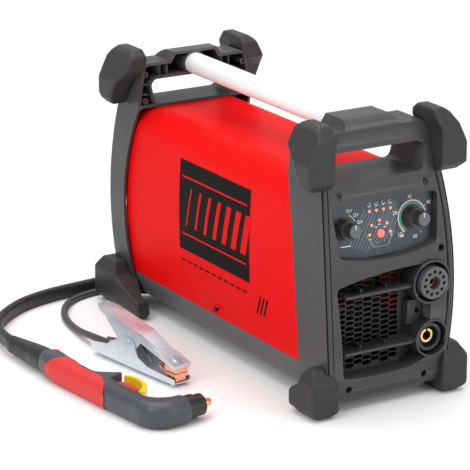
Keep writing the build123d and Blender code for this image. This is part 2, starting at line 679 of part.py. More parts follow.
# ---- earth clamp ----
def at_clamp(shape):
    """Places a shape drawn with +Y from the jaws to the handles and Z up."""
    return Pos(*CLAMP_ORIGIN) * Rot(0, 0, CLAMP_HEADING) * shape


LOWER_CHEEK = [(2, 5.5), (2, 13), (60, 16), (82, 24), (94, 47), (114, 49), (132, 38), (152, 26), (189, 20),
               (189, 9), (160, 6), (60, 5)]
LEVER_CHEEK = [(1, 30.5), (30, 39.5), (74, 56.5), (168, 73.5), (176, 74), (158, 66), (143, 52), (118, 30.5), (92, 30.5),
               (78, 46), (30, 33.5), (1, 25.5)]


def clamp_parts():
    py, pz = CLAMP_PIN
    half, sheet = CLAMP_HALF, 1.5
    arm = side_slab(polygon(LOWER_CHEEK, 1.2), -half, half) - side_slab(
        polygon([(-10, 7.4), (60, 6.8), (160, 7.8), (200, 11), (200, 80), (-10, 80)]), -half + sheet, half - sheet)
    lever = side_slab(polygon(LEVER_CHEEK, 0.8), -half + 2, half - 2) - side_slab(
        polygon([(-10, -10), (-10, 24), (1, 28), (30, 37), (74, 54), (176, 71.4), (200, 60), (200, -10)]),
        -half + 3.6, half - 3.6)
    strap = polygon([(0, 30.5), (30, 39.5), (74, 56.5), (180, 75.8), (180, 78.2), (73, 59), (29, 42), (0, 33)])
    plan = polygon([(-half, -1), (half, -1), (half, 22), (11, 40), (13, 66), (half, 84), (half, 160),
                    (9, 181), (-9, 181), (-half, 160), (-half, 84), (-13, 66), (-11, 40), (-half, 22)], 3)
    lever += side_slab(strap, -half, half) & flat_slab(plan, 0, 100)
    arm -= Pos(0, py, pz) * Rot(0, 90, 0) * Cylinder(3.0, 40)
    lever -= Pos(0, py, pz) * Rot(0, 90, 0) * Cylinder(3.05, 40)
    pin = Pos(0, py, pz) * Rot(0, 90, 0) * Cylinder(3.0, 2 * half)
    pin += [Pos(s * (half + 0.9), py, pz) * Rot(0, 90, 0) * Cylinder(4.6, 1.8) for s in (-1, 1)]
    coil = Pos(0, py, pz) * Rot(0, 90, 0) * (Cylinder(8.0, 16) - Cylinder(5.0, 18))
    low_leg = Pos(6.5, 0, 0) * side_slab(polygon([(100, 34), (78, 10), (75, 10), (96, 36)]), -1, 1)
    high_leg = Pos(-6.5, 0, 0) * side_slab(polygon([(103, 45.5), (75, 48.5), (75, 51.2), (104, 47.5)]), -1, 1)
    low_pad = block(-11, 11, 3, 27, 14.0, 19.6) + block(-9, 9, 5, 24, 7.5, 14.1)
    high_pad = side_slab(polygon([(3, 20.4), (27, 20.4), (27, 34), (3, 27.5)]), -11, 11)
    high_pad -= side_slab(polygon([(-1, 28.2), (60, 45), (60, 60), (-1, 60)]), -15, 15)
    for k in range(5):
        low_pad -= block(-12, 12, 5 + 4.4 * k, 7 + 4.4 * k, 18.8, 20)
        high_pad -= block(-12, 12, 5 + 4.4 * k, 7 + 4.4 * k, 20, 21.2)
    braid_path = FilletPolyline((0, 27.1, 17), (0, 40, 15.5), (0, 46, 24), (0, 41, 32), (0, 27.8, 29), radius=3.2)
    braid = sweep(Plane(origin=(0, 27.1, 17), x_dir=(1, 0, 0), z_dir=(0, 12.9, -1.5)) * Rectangle(14, 2.2), path=braid_path)
    rivets = [Pos(x, 14, 3.2) * Cylinder(3.6, 4.8) + Pos(x, 14, 1.0) * Cylinder(4.6, 2) for x in (-7, 7)]
    stud = Pos(0, 14, 37.5) * Rot(17, 0, 0) * (Pos(0, 0, 0.8) * Cylinder(6, 2.4))
    lug = block(-13, 13, 168, 184, 10.2, 12) + block(-3, 11, 155, 169, 10.2, 12) + rod(6.8, 138, 166, 4, 17.2)
    bolt = Pos(-8.5, 176, 12) * extrude(RegularPolygon(4.4, 6), 4) + Pos(-8.5, 176, 8) * Cylinder(2, 12)
    lug -= Pos(-8.5, 176, 9) * Cylinder(2, 9) + rod(5, 137, 190, 4, 17.2)
    arm -= Pos(-8.5, 176, 7) * Cylinder(2, 30)
    for x in (-7, 7):
        arm -= Pos(x, 14, 5) * Cylinder(3.6, 8)
    made = dict(clamp_arm=arm, clamp_lever=lever, clamp_pin=pin, clamp_spring=coil + low_leg + high_leg,
                lower_jaw_pad=low_pad, upper_jaw_pad=high_pad, jaw_braid=braid, clamp_fasteners=Compound([bolt, *rivets]),
                lever_rivet=stud, cable_lug=lug)
    return {name: at_clamp(shape) for name, shape in made.items()}


# ---- leads ----
COIL_CENTRE = (190.0, 500.0)
TORCH_COIL = (100.0, 150.0, 0.0, 44.0)  # inner and outer radius, bottom and top
EARTH_COIL = (113.0, 137.0, 44.0, 66.0)
TORCH_ROUTE = [(-350.8, 155.4, 19.5), (-347.0, 210.0, 16.5), (-306.0, 280.0, 11.5), (-226.0, 334.0, 11.0),
               (-90.0, 345.0, 11.0), (40.0, 364.0, 11.0), (150.0, 368.0, 11.0)]
EARTH_ROUTE = [(-223.2, 59.7, 17.2), (-233.1, 119.5, 16.4), (-228.0, 190.0, 5.6), (-213.0, 262.0, 5.4),
               (-165.0, 323.0, 5.4), (-72.0, 332.0, 5.4), (10.0, 331.0, 9.0), (112.0, 344.0, 44.0),
               (180.0, 372.0, 55.0)]


def route_wire(points):
    """Straight runs joined by arcs, each as wide as its shorter neighbouring run allows."""
    radii = []
    for a, b, c in zip(points, points[1:], points[2:]):
        one, two = Vector(*b) - Vector(*a), Vector(*c) - Vector(*b)
        turn = math.radians(one.get_angle(two))
        radii.append(round(0.45 * min(one.length, two.length) / math.tan(turn / 2), 1))
    print("arc radii", radii)
    return FilletPolyline(*points, radius=radii)


def lead(points, section):
    wire = route_wire(points)
    start = Plane(origin=points[0], x_dir=(0, 0, 1), z_dir=wire % 0)
    tube = sweep(start * section, path=wire)
    print("tube volume", round(tube.volume), "section x length", round(section.area * wire.length))
    return tube


def ring_coil(inner, outer, low, high):
    x, y = COIL_CENTRE
    body = Pos(x, y, (low + high) / 2) * (Cylinder(outer, high - low) - Cylinder(inner, high - low))
    return fillet(body.edges(), 6)


def lead_parts():
    x, y = COIL_CENTRE
    flat = SlotOverall(TORCH_LEAD_W, TORCH_LEAD_T)
    plug = Pos(x - 7, y - 20, 20.5) * Rot(0, 90, 0)
    barrel_part = Cylinder(20.5, 36) + Pos(0, 0, -42) * Cylinder(17, 50) + Pos(0, 0, 24) * Cylinder(11, 14)
    tail = Pos(0, 0, -80) * Cylinder(10, 30)
    earth = Pos(x - 10, y + 125, 77) * Rot(0, 90, 0)
    earth_body = Cylinder(12, 44) + Pos(0, 0, 36) * Cylinder(6.4, 30) + Pos(0, 0, -32) * Cylinder(8.5, 22)
    return dict(
        torch_lead=lead(TORCH_ROUTE, flat),
        torch_lead_coil=ring_coil(*TORCH_COIL),
        torch_plug=plug * (barrel_part + tail),
        earth_lead=lead(EARTH_ROUTE, Circle(EARTH_LEAD_D / 2)),
        earth_lead_coil=ring_coil(*EARTH_COIL),
        earth_plug=earth * earth_body,
    )


def main():
    os.makedirs("parts", exist_ok=True)
    made = build_unit() | torch_parts() | clamp_parts() | lead_parts()
    for name, shape in made.items():
        export_step(Pos(*TO_ROW) * shape, f"parts/{name}.step")


main()
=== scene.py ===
"""Plasma cutter with its hand torch and earth clamp: materials, print, leads and studio on the CAD frame."""

import math
import random

import bmesh
import bpy
from mathutils import Matrix, Vector


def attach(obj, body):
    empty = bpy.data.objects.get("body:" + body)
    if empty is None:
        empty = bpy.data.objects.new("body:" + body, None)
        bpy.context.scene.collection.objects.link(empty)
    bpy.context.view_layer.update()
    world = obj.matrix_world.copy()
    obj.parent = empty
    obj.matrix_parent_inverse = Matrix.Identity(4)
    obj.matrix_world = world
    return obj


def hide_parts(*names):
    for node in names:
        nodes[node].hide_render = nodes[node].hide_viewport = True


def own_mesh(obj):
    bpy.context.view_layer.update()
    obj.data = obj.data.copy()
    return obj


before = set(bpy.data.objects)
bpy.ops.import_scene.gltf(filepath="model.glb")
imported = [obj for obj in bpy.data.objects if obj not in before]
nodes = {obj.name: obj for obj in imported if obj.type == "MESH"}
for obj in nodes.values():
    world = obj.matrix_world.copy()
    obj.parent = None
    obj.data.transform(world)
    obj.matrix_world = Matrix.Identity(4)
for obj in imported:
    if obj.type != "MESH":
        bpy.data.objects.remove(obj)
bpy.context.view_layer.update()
random.seed(7)

TO_ROW = Vector((0.11834, -0.0105, 0.0))
MM = 0.001


def at(x, y, z):
    """Millimetres about the middle of the unit, as a point of the row frame in metres."""
    return Vector((x * MM, y * MM, z * MM)) + TO_ROW


# ---------------------------------------------------------------- materials
def socket(node, name, value):
    node.inputs[name].default_value = value


def material(name, colour, rough, metal=0.0, vary=0.08, rough_vary=0.1, patch=14.0, grain=0.0,
             grain_size=900.0, edge=None, edge_amount=0.5, coat=0.0, brushed=None, dust=0.0, glow=None,
             specular=0.5, ior=1.5):
    """A Principled material with patchy colour, patchy roughness, fine bump and worn edges."""
    mat = bpy.data.materials.new(name)
    mat.use_nodes = True
    tree = mat.node_tree
    node, link = tree.nodes.new, tree.links.new
    shader = tree.nodes["Principled BSDF"]
    where = node("ShaderNodeTexCoord").outputs["Object"]

    cloud = node("ShaderNodeTexNoise")
    socket(cloud, "Scale", patch)
    socket(cloud, "Detail", 8.0)
    socket(cloud, "Roughness", 0.62)
    link(where, cloud.inputs["Vector"])

    tone = node("ShaderNodeMapRange")
    socket(tone, "From Min", 0.3)
    socket(tone, "From Max", 0.7)
    socket(tone, "To Min", 1.0 - vary)
    socket(tone, "To Max", 1.0 + vary)
    link(cloud.outputs["Fac"], tone.inputs["Value"])
    tint = node("ShaderNodeVectorMath")
    tint.operation = "SCALE"
    tint.inputs[0].default_value = colour
    link(tone.outputs["Result"], tint.inputs["Scale"])
    out = tint.outputs["Vector"]

    if edge:
        shape = node("ShaderNodeNewGeometry")
        rim = node("ShaderNodeMapRange")
        socket(rim, "From Min", 0.515)
        socket(rim, "From Max", 0.6)
        socket(rim, "To Max", edge_amount)
        link(shape.outputs["Pointiness"], rim.inputs["Value"])
        broken = node("ShaderNodeTexNoise")
        socket(broken, "Scale", 160.0)
        socket(broken, "Detail", 5.0)
        link(where, broken.inputs["Vector"])
        wear = node("ShaderNodeMath")
        wear.operation = "MULTIPLY"
        link(rim.outputs["Result"], wear.inputs[0])
        link(broken.outputs["Fac"], wear.inputs[1])
        mix = node("ShaderNodeMix")
        mix.data_type = "RGBA"
        link(wear.outputs["Value"], mix.inputs["Factor"])
        link(out, mix.inputs["A"])
        mix.inputs["B"].default_value = (*edge, 1)
        out = mix.outputs["Result"]
    if dust:
        facing = node("ShaderNodeNewGeometry")
        split = node("ShaderNodeSeparateXYZ")
        link(facing.outputs["Normal"], split.inputs["Vector"])
        up = node("ShaderNodeMapRange")
        socket(up, "From Min", 0.55)
        socket(up, "From Max", 1.0)
        socket(up, "To Max", dust)
        link(split.outputs["Z"], up.inputs["Value"])
        film = node("ShaderNodeMath")
        film.operation = "MULTIPLY"
        link(up.outputs["Result"], film.inputs[0])
        link(cloud.outputs["Fac"], film.inputs[1])
        mix = node("ShaderNodeMix")
        mix.data_type = "RGBA"
        link(film.outputs["Value"], mix.inputs["Factor"])
        link(out, mix.inputs["A"])
        mix.inputs["B"].default_value = (0.62, 0.61, 0.6, 1)
        out = mix.outputs["Result"]
    link(out, shader.inputs["Base Color"])

    gloss = node("ShaderNodeMapRange")
    socket(gloss, "From Min", 0.25)
    socket(gloss, "From Max", 0.75)
    socket(gloss, "To Min", max(0.02, rough - rough_vary))
    socket(gloss, "To Max", min(1.0, rough + rough_vary))
    link(cloud.outputs["Fac"], gloss.inputs["Value"])
    link(gloss.outputs["Result"], shader.inputs["Roughness"])

    socket(shader, "Metallic", metal)
    socket(shader, "Specular IOR Level", specular)
    socket(shader, "IOR", ior)
    if coat:
        socket(shader, "Coat Weight", coat)
        socket(shader, "Coat Roughness", 0.06)
    if glow:
        shader.inputs["Emission Color"].default_value = (*glow[:3], 1)
        socket(shader, "Emission Strength", glow[3])
    if grain or brushed:
        fine = node("ShaderNodeTexNoise")
        socket(fine, "Scale", grain_size)
        socket(fine, "Detail", 3.0)
        if brushed:
            stretch = node("ShaderNodeMapping")
            stretch.inputs["Scale"].default_value = brushed
            link(where, stretch.inputs["Vector"])
            link(stretch.outputs["Vector"], fine.inputs["Vector"])
        else:
            link(where, fine.inputs["Vector"])
        bump = node("ShaderNodeBump")
        socket(bump, "Strength", grain or 0.05)
        socket(bump, "Distance", 0.0004)
        link(fine.outputs["Fac"], bump.inputs["Height"])
        link(bump.outputs["Normal"], shader.inputs["Normal"])
    return mat


PLASTIC = material("moulded_plastic", (0.042, 0.0424, 0.0437), 0.36, specular=0.3, grain=0.16,
                   grain_size=1500, edge=(0.2, 0.2, 0.2),
                   edge_amount=0.55, vary=0.06, dust=0.05)
RUBBER = material("bumper_rubber", (0.03, 0.0304, 0.0312), 0.46, specular=0.26, grain=0.2,
                  grain_size=1300, edge=(0.13, 0.13, 0.13),
                  edge_amount=0.5, vary=0.08, dust=0.05)
BLACK = material("black_plastic", (0.018, 0.018, 0.019), 0.4, grain=0.12, vary=0.08, edge=(0.08, 0.08, 0.08))
GRILLE = material("grille_plastic", (0.02, 0.021, 0.022), 0.45, grain=0.1, vary=0.1, edge=(0.14, 0.14, 0.14),
                  edge_amount=0.7)
RED = material("red_powder_coat", (0.74, 0.0015, 0.003), 0.34, ior=1.14, specular=0.3, vary=0.02,
               rough_vary=0.04, patch=4.0,
               grain=0.02, grain_size=420, edge=(0.9, 0.12, 0.1), edge_amount=0.3)
PAN = material("grey_paint", (0.07, 0.072, 0.075), 0.48, grain=0.1, grain_size=700,
               edge=(0.3, 0.3, 0.3), vary=0.05)
TUBE = material("tube_paint", (0.8, 0.805, 0.81), 0.36, vary=0.02, coat=0.15, grain=0.03, grain_size=500)
PANEL = material("panel_film", (0.04, 0.05, 0.062), 0.34, specular=0.4, vary=0.05, grain=0.05,
                 grain_size=1200)
KNOB = material("knob_black", (0.012, 0.012, 0.013), 0.32, vary=0.1, edge=(0.1, 0.1, 0.1), grain=0.05)
KNOB_CAP = material("knob_cap", (0.09, 0.092, 0.095), 0.42, vary=0.06, grain=0.08)
PRINT = material("white_print", (0.72, 0.74, 0.75), 0.5, vary=0.05)
PRINT_DIM = material("grey_print", (0.27, 0.31, 0.35), 0.5, vary=0.08)
PRINT_PINK = material("pink_print", (0.85, 0.6, 0.6), 0.5, vary=0.05)
PRINT_GREEN = material("green_print", (0.06, 0.5, 0.3), 0.5, vary=0.05)
# black print on the badge and the side dashes, and also the painted shadow lines of the face grooves
PRINT_BLACK_AND_SHADE = material("black_print_and_painted_shade", (0.009, 0.008, 0.007), 0.5, vary=0.05, specular=0.3, ior=1.16)
PRINT_RED = material("red_print", (0.7, 0.003, 0.004), 0.45, vary=0.04, specular=0.3, ior=1.16)
LED = material("led_lens", (0.82, 0.3, 0.18), 0.25, vary=0.1, glow=(1.0, 0.32, 0.18, 0.25), coat=0.4)
BUTTON = material("button_lens", (0.9, 0.16, 0.1), 0.3, vary=0.08, glow=(1.0, 0.16, 0.08, 0.3), coat=0.4)
ZINC = material("zinc_plate", (0.58, 0.66, 0.74), 0.34, metal=0.85, vary=0.07, rough_vary=0.12, patch=22,
                brushed=(40, 900, 900), grain=0.05, grain_size=3, edge=(0.95, 0.97, 1.0), edge_amount=0.6)
STEEL = material("black_screw", (0.03, 0.03, 0.032), 0.28, metal=0.85, vary=0.1, edge=(0.4, 0.4, 0.4))
COPPER = material("copper", (0.86, 0.4, 0.24), 0.3, metal=1.0, vary=0.14, rough_vary=0.14, patch=120,
                  edge=(1.0, 0.72, 0.55), grain=0.1)
BRASS = material("brass", (0.86, 0.6, 0.24), 0.26, metal=1.0, vary=0.08, patch=60, edge=(1.0, 0.85, 0.5))
ALUMINIUM = material("aluminium", (0.72, 0.73, 0.75), 0.35, metal=0.9, vary=0.06,
                     brushed=(30, 600, 30), grain=0.05,
                     grain_size=4)
BOARD = material("circuit_board", (0.02, 0.16, 0.07), 0.35, vary=0.1, grain=0.05)
SOCKET = material("socket_grey", (0.07, 0.072, 0.075), 0.45, vary=0.08, grain=0.15, edge=(0.25, 0.25, 0.25))
TORCH = material("torch_grey", (0.05, 0.058, 0.07), 0.36, specular=0.4, vary=0.06, grain=0.1, grain_size=1400,
                 edge=(0.2, 0.22, 0.24))
GRIP = material("torch_red", (0.62, 0.03, 0.03), 0.48, vary=0.06, grain=0.2, grain_size=1200, specular=0.3)
YELLOW = material("catch_yellow", (0.9, 0.62, 0.01), 0.3, vary=0.05, coat=0.3)
LEAD = material("lead_rubber", (0.016, 0.016, 0.017), 0.48, vary=0.16, grain=0.25, grain_size=500, patch=40)
EARTH = material("earth_lead_rubber", (0.05, 0.052, 0.052), 0.42, vary=0.12, grain=0.12,
                 grain_size=500, patch=30)
WEBBING = material("tie_webbing", (0.05, 0.052, 0.056), 0.75, vary=0.15, grain=0.4,
                   grain_size=800, specular=0.2)
BOOT = material("boot_rubber", (0.014, 0.014, 0.015), 0.36, vary=0.12, grain=0.12, patch=40)

FINISH = {
    "front_frame": PLASTIC, "rear_frame": PLASTIC, "grille_panel": GRILLE, "fan_frame": BLACK,
    "fan_rotor": BLACK,
    "switch_body": BLACK, "switch_handle": KNOB, "cable_gland": BLACK, "regulator_knob": BLACK,
    "air_filter": BLACK, "mode_knob": KNOB, "current_knob": KNOB, "control_panel": PANEL,
    "push_button": BUTTON,
    "indicator_leds": LED, "front_feet": RUBBER, "rear_feet": RUBBER, "front_bumpers": RUBBER,
    "rear_bumpers": RUBBER, "side_cover": RED, "base_pan": PAN, "rear_panel": PAN, "carry_tube": TUBE,
    "knob_shafts": ALUMINIUM, "housing_screws": STEEL, "clamp_arm": ZINC, "clamp_lever": ZINC,
    "clamp_pin": ZINC,
    "clamp_fasteners": ZINC, "lever_rivet": ZINC, "torch_pins": STEEL, "trigger_spring": STEEL,
    "transformer": STEEL, "heat_sink": ALUMINIUM, "capacitors": BLACK, "control_board": BOARD,
    "power_board": BOARD, "torch_socket": SOCKET, "earth_socket": BLACK, "torch_socket_contact": COPPER,
    "earth_socket_contact": BRASS, "lower_jaw_pad": COPPER, "upper_jaw_pad": COPPER, "cable_lug": COPPER,
    "cutting_nozzle": COPPER, "electrode": COPPER, "torch_trigger": GRIP, "safety_catch": YELLOW,
    "retaining_cap": BOOT, "torch_handle": TORCH, "torch_grip": GRIP,
}
BEVELS = {
    "front_frame": 1.1, "rear_frame": 1.1, "grille_panel": 0.35, "side_cover": 0.3, "base_pan": 0.5,
    "control_panel": 0.3, "clamp_arm": 0.35, "clamp_lever": 0.4, "safety_catch": 1.4, "torch_trigger": 1.2,
    "air_filter": 0.8, "cable_gland": 0.8, "switch_body": 0.6, "fan_frame": 0.8, "carry_tube": 0.8,
    "front_feet": 0, "rear_feet": 0, "front_bumpers": 0, "rear_bumpers": 0, "torch_handle": 2.0,
}


PADS = ("front_bumpers", "rear_bumpers", "front_feet", "rear_feet")


def soften(o):
    """Turns a moulded pad's hard edges into soft ones a few millimetres round."""
    even = o.modifiers.new("even", "REMESH")
    even.mode = "VOXEL"
    even.voxel_size = 0.0017
    relax = o.modifiers.new("relax", "SMOOTH")
    relax.factor = 0.5
    relax.iterations = 18
    for p in o.data.polygons:
        p.use_smooth = True
    even.use_smooth_shade = True


def finish_node(name):
    """Welds a CAD node's mesh, rounds its edges a little and gives it its material."""
    o = nodes[name]
    o.data.materials.clear()
    o.data.materials.append(FINISH[name])
    weld = o.modifiers.new("weld", "WELD")
    weld.merge_threshold = 0.00001
    if name in PADS:
        soften(o)
        return
    width = BEVELS.get(name, 0.4)
    if width:
        bevel = o.modifiers.new("edges", "BEVEL")
        bevel.width = width * MM
        bevel.segments = 2
        bevel.limit_method = "ANGLE"
        bevel.angle_limit = math.radians(32)
        bevel.harden_normals = False
        bevel.use_clamp_overlap = True
    for p in o.data.polygons:
        p.use_smooth = True
    o.data.set_sharp_from_angle(angle=math.radians(60 if width else 35))
    normals = o.modifiers.new("normals", "WEIGHTED_NORMAL")
    normals.keep_sharp = True
    normals.weight = 80


for node_name in FINISH:
    finish_node(node_name)


# ---------------------------------------------------------------- mesh helpers
def piece(name, verts, faces, mat, body="unit", smooth=35.0):
    """A mesh piece in the row frame that rides on a body."""
    mesh = bpy.data.meshes.new(name)
    mesh.from_pydata([tuple(v) for v in verts], [], faces)
    mesh.validate()
    work = bmesh.new()
    work.from_mesh(mesh)
    bmesh.ops.recalc_face_normals(work, faces=work.faces)
    work.to_mesh(mesh)
    work.free()
    mesh.materials.append(mat)
    for p in mesh.polygons:
        p.use_smooth = True
    mesh.set_sharp_from_angle(angle=math.radians(smooth))
    o = bpy.data.objects.new(name, mesh)
    bpy.context.scene.collection.objects.link(o)
    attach(o, body)
    return o


def tube_rings(rings, closed_ring=False, caps=True):
    """Vertices and faces of a skin through rings of equal count."""
    n = len(rings[0])
    verts = [v for ring in rings for v in ring]
    faces = []
    spans = len(rings) if closed_ring else len(rings) - 1
    for i in range(spans):
        a, b = i * n, ((i + 1) % len(rings)) * n
        for j in range(n):
            k = (j + 1) % n
            faces.append((a + j, a + k, b + k, b + j))
    if caps and not closed_ring:
        faces.append(tuple(range(n)))
        faces.append(tuple(range((len(rings) - 1) * n, len(rings) * n)))
    return verts, faces


def slab_mesh(outline, place, thick):
    """A plate from a flat outline: place(a, b, out) gives the point of the plate at outline point (a, b)."""
    n = len(outline)
    verts = [place(a, b, 0.0) for a, b in outline] + [place(a, b, thick) for a, b in outline]
    faces = [tuple(range(n)), tuple(range(n, 2 * n))]
    faces += [(i, (i + 1) % n, n + (i + 1) % n, n + i) for i in range(n)]
    return verts, faces


def joined(parts):
    verts, faces = [], []
    for v, f in parts:
        base = len(verts)
        verts += v
        faces += [tuple(i + base for i in face) for face in f]
    return verts, faces


# ---------------------------------------------------------------- control panel print
PANEL_TILT = math.radians(8.0)


def on_panel(a, b, out):
    """A point standing out by that many millimetres from the panel, at its X and its height."""
    rise = b - 249.0
    y = -265.0 + rise * math.tan(PANEL_TILT)
    return at(a, y - out * math.cos(PANEL_TILT), b + out * math.sin(PANEL_TILT))


def stroke(points, width, lift=0.05, thick=0.16, place=on_panel):
    """A printed line: short flat bars between points, in panel millimetres."""
    parts = []
    for (a0, b0), (a1, b1) in zip(points, points[1:]):
        length = math.hypot(a1 - a0, b1 - b0) or 1e-6
        na, nb = -(b1 - b0) / length * width / 2, (a1 - a0) / length * width / 2
        ea, eb = (a1 - a0) / length * width * 0.25, (b1 - b0) / length * width * 0.25
        quad = [(a0 + na - ea, b0 + nb - eb), (a1 + na + ea, b1 + nb + eb), (a1 - na + ea, b1 - nb + eb),
                (a0 - na - ea, b0 - nb - eb)]
        parts.append(slab_mesh(quad, lambda a, b, t: place(a, b, lift + t), thick))
    return joined(parts)


def arc_points(ca, cb, r, start, end, steps=40):
    return [(ca + r * math.sin(math.radians(start + (end - start) * i / steps)),
             cb + r * math.cos(math.radians(start + (end - start) * i / steps))) for i in range(steps + 1)]


def hatch():
    """Slanting hairlines across the middle of the panel."""
    parts = []
    for i in range(15):
        low = -54 + 4.7 * i
        top = 281 - 0.9 * abs(i - 7)
        bottom = 219 + 1.6 * abs(i - 6)
        slope = 0.62
        start, end = (low, bottom), (low + (top - bottom) * slope, top)
        if end[0] > 27:
            cut = (27 - start[0]) / (end[0] - start[0])
            end = (27, bottom + (top - bottom) * cut)
        if cut_ok(start, end):
            parts.append(stroke([start, end], 0.45 if i % 3 else 0.7, lift=0.02))
    return joined(parts)


def cut_ok(start, end):
    return end[0] - start[0] > 3


CURRENT = (50.0, 254.0)
MODE = (-60.0, 254.0)
PUSH = (-3.0, 240.0)
piece("panel_hatch", *hatch(), PRINT_DIM)
piece("panel_outer_arc", *stroke(arc_points(*CURRENT, 22.3, -142, 92), 2.3), PRINT_PINK)
piece("panel_inner_arc", *stroke(arc_points(*CURRENT, 19.0, -142, 92), 1.5), PRINT_GREEN)
ticks = [stroke([(CURRENT[0] + 24 * math.sin(math.radians(t)), CURRENT[1] + 24 * math.cos(math.radians(t))),
                 (CURRENT[0] + 26.5 * math.sin(math.radians(t)),
                  CURRENT[1] + 26.5 * math.cos(math.radians(t)))], 0.7)
         for t in (-135, -67, 0, 60, 105, 150)]
piece("panel_ticks", *joined(ticks), PRINT)
hexagon = [(PUSH[0] + 22.5 * math.sin(math.radians(60 * i + 30)),
            PUSH[1] + 20.0 * math.cos(math.radians(60 * i + 30)))
           for i in (0, 1, 2, 3, 4, 5, 0)]
piece("panel_hexagon", *stroke(hexagon[1:5], 0.8), PRINT_DIM)
marks = [stroke(arc_points(*MODE, 19.5, 28, 78, 12), 0.9),
         stroke([(MODE[0] - 7, 230.5), (MODE[0] + 9, 230.5)], 1.4)]
for t in (20, 48, 76):
    ca, cb = MODE[0] + 24.5 * math.sin(math.radians(t)), MODE[1] + 24.5 * math.cos(math.radians(t))
    marks.append(stroke(arc_points(ca, cb, 2.1, 0, 360, 12), 0.8))
    marks.append(stroke([(ca + 3.3, cb - 1.6), (ca + 5.8, cb + 1.8)], 0.9))
for i in range(4):
    ca = -18.0 + 11.3 * i
    marks.append(stroke(arc_points(ca, 280.3, 2.2, 40 * i, 40 * i + 270, 10), 0.75))
    marks.append(stroke([(ca - 1.6, 277.6), (ca + 1.8, 277.6)], 0.7))
for da, db in ((-6, 9.4), (8, 7.5), (18, -4.6), (-17, -6.2), (0, 12.2)):
    marks.append(stroke([(PUSH[0] + da - 1.8, PUSH[1] + db), (PUSH[0] + da + 1.8, PUSH[1] + db)], 1.0))
marks.append(stroke([(28.0, 230.0), (34.0, 230.0), (34.0, 233.0), (28.0, 230.0)], 1.1))
piece("panel_marks", *joined(marks), PRINT)


def panel_number(text, a, b, size):
    curve = bpy.data.curves.new("dial_" + text, "FONT")
    curve.body = text
    curve.size = size * MM
    curve.extrude = 0.00008
    curve.align_x = "CENTER"
    curve.align_y = "CENTER"
    curve.materials.append(PRINT)
    o = bpy.data.objects.new("dial_number_" + text, curve)
    bpy.context.scene.collection.objects.link(o)
    lean = Matrix.Rotation(math.pi / 2 - PANEL_TILT, 4, "X")
    o.matrix_world = Matrix.Translation(on_panel(a, b, 0.12)) @ lean
    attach(o, "unit")


for text, a, b in (("10", 28.5, 233.0), ("20", 22.0, 263.0), ("30", 47.5, 282.0), ("40", 78.0, 270.0),
                   ("60", 53.0, 227.0)):
    panel_number(text, a, b, 7.2)


def knob_trim(name, centre, body):
    """A pale cap on the knob's end and a thin bright ring round its skirt."""
    cap = [(9.0 * math.cos(math.tau * i / 40), 9.0 * math.sin(math.tau * i / 40)) for i in range(40)]
    place = lambda a, b, t: on_panel(centre[0] + a, centre[1] + b, 28.6 + t)  # noqa: E731
    piece(name + "_cap", *slab_mesh(cap, place, 0.7), KNOB_CAP, body)
    rings = []
    for i in range(48):
        t = math.tau * i / 48
        rings.append([on_panel(centre[0] + (13.7 + da) * math.cos(t),
                               centre[1] + (13.7 + da) * math.sin(t), 16.0 + h)
                      for da, h in ((-0.5, 0.0), (0.15, 0.0), (0.15, 0.5), (-0.5, 0.5))])
    piece(name + "_ring", *tube_rings(rings, closed_ring=True), KNOB_CAP, body)
    point = [(-0.55, 2.5), (0.55, 2.5), (0.55, 8.8), (-0.55, 8.8)]
    place_up = lambda a, b, t: on_panel(centre[0] + a, centre[1] + b, 29.2 + t)  # noqa: E731
    piece(name + "_pointer", *slab_mesh(point, place_up, 0.25), PRINT, body)


knob_trim("mode_knob", MODE, "mode_knob")
knob_trim("current_knob", CURRENT, "current_knob")

# ---------------------------------------------------------------- side badge and face beads
HALF_BOTTOM, HALF_MID, HALF_TOP = 93.0, 104.5, 87.0
FRAME_BOTTOM, FRAME_MID, FRAME_TOP = 20.0, 150.0, 380.0


def side_x(z, inset):
    """Half width of the bowed side at height z, moved in by inset."""
    (ax, ay), (bx, by), (cx, cy) = ((HALF_BOTTOM, FRAME_BOTTOM), (HALF_MID, FRAME_MID), (HALF_TOP, FRAME_TOP))
    d = 2 * (ax * (by - cy) + bx * (cy - ay) + cx * (ay - by))
    sa, sb, sc = ax * ax + ay * ay, bx * bx + by * by, cx * cx + cy * cy
    ox = (sa * (by - cy) + sb * (cy - ay) + sc * (ay - by)) / d
    oz = (sa * (cx - bx) + sb * (ax - cx) + sc * (bx - ax)) / d
    r = math.hypot(ax - ox, ay - oz) - inset
    return ox + math.sqrt(r * r - (z - oz) ** 2)


FACE_ARC_R, FACE_ARC_Y, FACE_ARC_Z = 690.0, -290.0, 125.0


def face_strip(name, side, inset, half, proud, mat):
    """A rounded strip down the face, a little way in from the frame's edge."""
    rings = []
    for i in range(41):
        z = 62.0 + (318.0 - 62.0) * i / 40
        x = side * (side_x(z, 0.0) - inset)
        y = FACE_ARC_Y + FACE_ARC_R - math.sqrt(FACE_ARC_R ** 2 - (z - FACE_ARC_Z) ** 2)
        rings.append([at(x + half * math.cos(math.tau * j / 14), y + proud * math.sin(math.tau * j / 14), z)
                      for j in range(14)])
    piece(name, *tube_rings(rings), mat, smooth=60)


for side, word in ((-1, "left"), (1, "right")):
    face_strip("face_bead_" + word, side, 6.0, 3.4, 2.4, PLASTIC)
    # the two thin black strips are painted shadow: dark lines that stand for the shade in the grooves along
    # the face
    face_strip("face_groove_" + word, side, 1.7, 0.9, 0.7, PRINT_BLACK_AND_SHADE)
    face_strip("face_groove_inner_" + word, side, 10.3, 0.7, 0.6, PRINT_BLACK_AND_SHADE)


